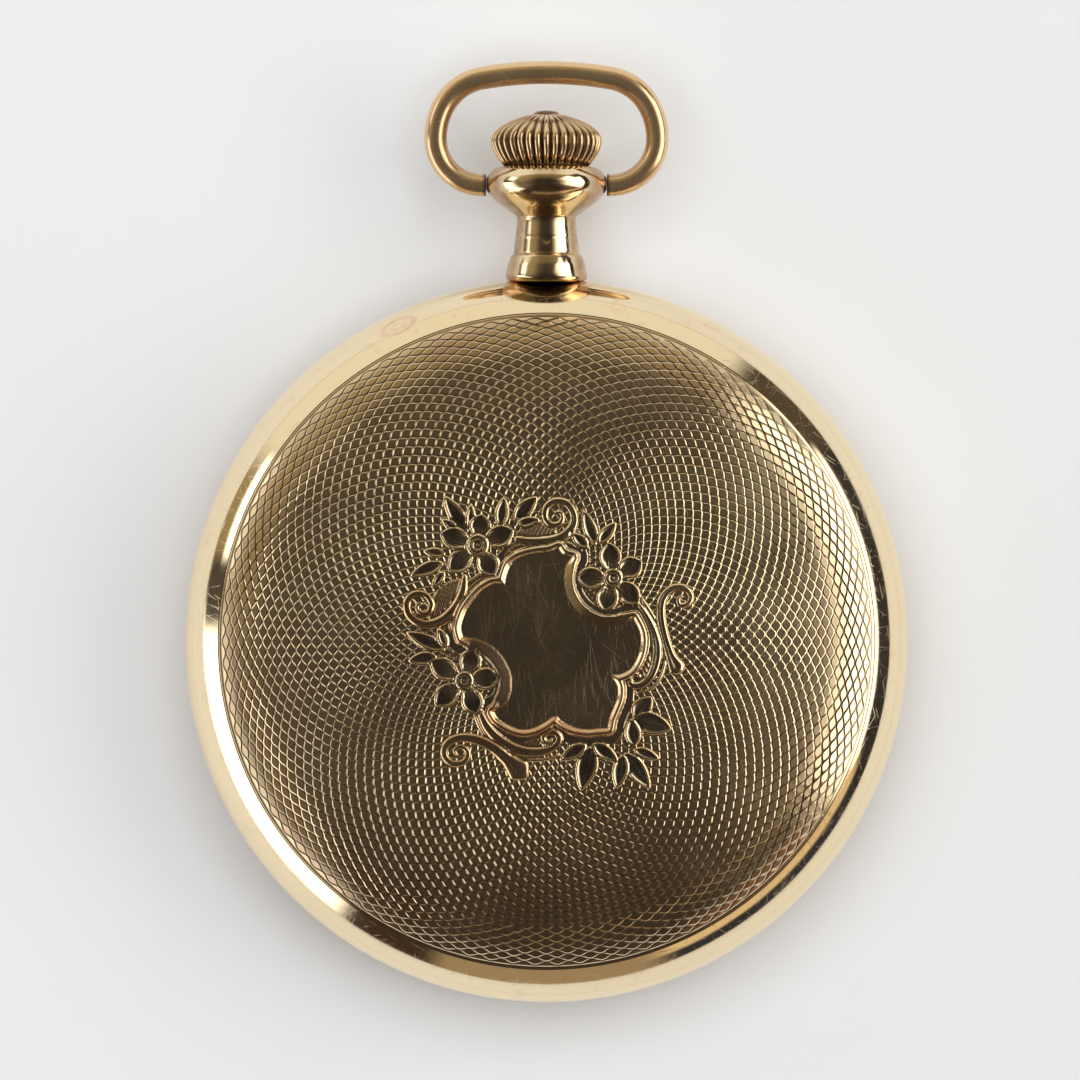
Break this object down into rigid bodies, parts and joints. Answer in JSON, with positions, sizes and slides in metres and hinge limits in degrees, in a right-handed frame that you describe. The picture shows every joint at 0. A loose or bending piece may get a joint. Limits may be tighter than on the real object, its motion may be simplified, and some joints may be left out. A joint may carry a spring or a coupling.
{
  "type": "pocket watch",
  "caption": "open-face pocket watch, dial down, with an engine-turned domed screw back, fluted winding crown, oval swinging bow and a stem-wound lever movement",
  "frame": {"origin": "centre of the crystal's flat outer face, on the axis of the case", "axes": "+Z runs from the crystal to the back cover, +Y to the pendant and bow, +X completes the frame; hands turn clockwise seen from the crystal, which is positive about +Z"},
  "size_m": [0.0505, 0.0657, 0.0134],
  "materials": {
    "gold": "polished yellow gold-filled case metal, worn",
    "glass": "clear mineral glass",
    "enamel": "white enamel with black numerals",
    "blued_steel": "heat-blued steel",
    "nickel": "striped nickel plates",
    "steel": "polished steel",
    "brass": "gilt brass",
    "ruby": "red ruby jewels"
  },
  "bodies": {
    "case": {"case_band": "gold", "pendant": "gold", "pendant_sleeve": "steel", "dial": "enamel", "main_plate": "nickel", "barrel_bridge": "nickel", "train_bridge": "nickel", "balance_cock": "nickel", "pallet_cock": "nickel", "jewels": "ruby", "bridge_screws": "blued_steel", "case_screws": "steel", "click_screw": "blued_steel", "click_spring": "steel", "hairspring": "steel", "hairspring_stud": "steel", "cap_jewel": "ruby"},
    "back": {"back_cover": "gold"},
    "bezel": {"bezel": "gold", "crystal": "glass"},
    "bow": {"bow": "gold"},
    "winding": {"winding_arbor": "steel"},
    "crown": {"crown": "gold", "winding_stem": "steel"},
    "clutch": {"clutch": "steel"},
    "clutch_lever": {"clutch_lever": "steel"},
    "winding_pinion": {"winding_pinion": "steel"},
    "crown_wheel": {"crown_wheel": "steel", "crown_wheel_screw": "blued_steel", "winding_bevel_wheel": "steel"},
    "ratchet": {"ratchet_wheel": "steel", "ratchet_screw": "blued_steel", "barrel_arbor": "steel"},
    "click": {"click": "steel"},
    "seconds": {"fourth_wheel": "brass", "fourth_pinion": "steel", "seconds_hand": "blued_steel"},
    "third": {"third_wheel": "brass", "third_pinion": "steel"},
    "center": {"center_wheel": "brass", "center_pinion": "steel", "cannon_pinion": "steel", "minute_hand": "blued_steel"},
    "barrel": {"barrel": "brass", "barrel_cover": "brass", "mainspring": "steel"},
    "escape": {"escape_wheel": "steel", "escape_pinion": "steel"},
    "hour": {"hour_wheel": "brass", "hour_hand": "blued_steel"},
    "minute": {"minute_wheel": "brass"},
    "setting": {"setting_wheel": "steel"},
    "idler": {"setting_idler": "steel"},
    "pallet": {"pallet_fork": "steel", "pallet_stones": "ruby"},
    "balance": {"balance_wheel": "brass", "balance_screws": "brass", "balance_staff": "steel", "roller": "brass"},
    "regulator": {"regulator": "steel"}
  },
  "joints": [
    {"name": "back_unscrew", "type": "slide", "parent": "case", "child": "back", "axis": [0, 0, 1], "range_m": [0, 0.012]},
    {"name": "bezel_unscrew", "type": "slide", "parent": "case", "child": "bezel", "axis": [0, 0, -1], "range_m": [0, 0.008]},
    {"name": "bow_swing", "type": "hinge", "parent": "case", "child": "bow", "pos_m": [0, 0.03184, 0.0059], "axis": [1, 0, 0], "range_deg": [-145, 145]},
    {"name": "winding_turn", "type": "hinge", "parent": "case", "child": "winding", "pos_m": [0, 0.015, 0.0059], "axis": [0, 1, 0], "continuous": true},
    {"name": "crown_pull", "type": "slide", "parent": "winding", "child": "crown", "axis": [0, 1, 0], "range_m": [0, 0.0012]},
    {"name": "clutch_slide", "type": "slide", "parent": "winding", "child": "clutch", "axis": [0, 1, 0], "range_m": [-0.001, 0]},
    {"name": "clutch_lever_swing", "type": "hinge", "parent": "case", "child": "clutch_lever", "pos_m": [0.0042, 0.0146, 0.0044], "axis": [0, 0, 1], "range_deg": [0, 13.64]},
    {"name": "winding_pinion_turn", "type": "hinge", "parent": "case", "child": "winding_pinion", "pos_m": [0, 0.01691, 0.0059], "axis": [0, 1, 0], "continuous": true},
    {"name": "crown_wheel_turn", "type": "hinge", "parent": "case", "child": "crown_wheel", "pos_m": [0, 0.01361, 0.0095], "axis": [0, 0, 1], "continuous": true},
    {"name": "ratchet_turn", "type": "hinge", "parent": "case", "child": "ratchet", "pos_m": [0.00708, 0.00594, 0.0095], "axis": [0, 0, 1], "continuous": true},
    {"name": "click_swing", "type": "hinge", "parent": "case", "child": "click", "pos_m": [0.01395, 0.00165, 0.0102], "axis": [0, 0, 1], "range_deg": [-8, 0]},
    {"name": "seconds_turn", "type": "hinge", "parent": "case", "child": "seconds", "pos_m": [0, -0.0105, 0.007], "axis": [0, 0, 1], "continuous": true},
    {"name": "third_turn", "type": "hinge", "parent": "case", "child": "third", "pos_m": [0.00247, -0.0058, 0.007], "axis": [0, 0, 1], "continuous": true},
    {"name": "center_turn", "type": "hinge", "parent": "case", "child": "center", "pos_m": [0, 0, 0.007], "axis": [0, 0, 1], "continuous": true},
    {"name": "barrel_turn", "type": "hinge", "parent": "case", "child": "barrel", "pos_m": [0.00708, 0.00594, 0.006], "axis": [0, 0, 1], "continuous": true},
    {"name": "escape_turn", "type": "hinge", "parent": "case", "child": "escape", "pos_m": [-0.0039, -0.00885, 0.007], "axis": [0, 0, 1], "continuous": true},
    {"name": "hour_turn", "type": "hinge", "parent": "case", "child": "hour", "pos_m": [0, 0, 0.0042], "axis": [0, 0, 1], "continuous": true},
    {"name": "minute_turn", "type": "hinge", "parent": "case", "child": "minute", "pos_m": [0, 0.0036, 0.0045], "axis": [0, 0, 1], "continuous": true},
    {"name": "setting_turn", "type": "hinge", "parent": "case", "child": "setting", "pos_m": [0, 0.0078, 0.0046], "axis": [0, 0, 1], "continuous": true},
    {"name": "idler_turn", "type": "hinge", "parent": "case", "child": "idler", "pos_m": [0, 0.01125, 0.0046], "axis": [0, 0, 1], "continuous": true},
    {"name": "pallet_swing", "type": "hinge", "parent": "case", "child": "pallet", "pos_m": [-0.00648, -0.00776, 0.007], "axis": [0, 0, 1], "range_deg": [-4, 4]},
    {"name": "balance_swing", "type": "hinge", "parent": "case", "child": "balance", "pos_m": [-0.0116, -0.0056, 0.0083], "axis": [0, 0, 1], "range_deg": [-270, 270], "stiffness_Nm_per_rad": 0.00000185},
    {"name": "regulator_turn", "type": "hinge", "parent": "case", "child": "regulator", "pos_m": [-0.0116, -0.0056, 0.0102], "axis": [0, 0, 1], "range_deg": [-20, 20]}
  ],
  "couplings": [
    {"joint": "clutch_slide", "follows": "crown_pull", "ratio": -0.83333},
    {"joint": "clutch_lever_swing", "follows": "crown_pull", "rad_per_m": 198.41},
    {"joint": "winding_pinion_turn", "follows": "winding_turn", "ratio": 1},
    {"joint": "crown_wheel_turn", "follows": "winding_turn", "ratio": -0.5},
    {"joint": "ratchet_turn", "follows": "winding_turn", "ratio": 0.31818},
    {"joint": "third_turn", "follows": "seconds_turn", "ratio": -0.13333},
    {"joint": "center_turn", "follows": "seconds_turn", "ratio": 0.016667},
    {"joint": "barrel_turn", "follows": "seconds_turn", "ratio": -0.0027778},
    {"joint": "escape_turn", "follows": "seconds_turn", "ratio": -10},
    {"joint": "minute_turn", "follows": "seconds_turn", "ratio": -0.0055556},
    {"joint": "hour_turn", "follows": "seconds_turn", "ratio": 0.0013889},
    {"joint": "setting_turn", "follows": "seconds_turn", "ratio": 0.01},
    {"joint": "idler_turn", "follows": "seconds_turn", "ratio": -0.0076923}
  ]
}
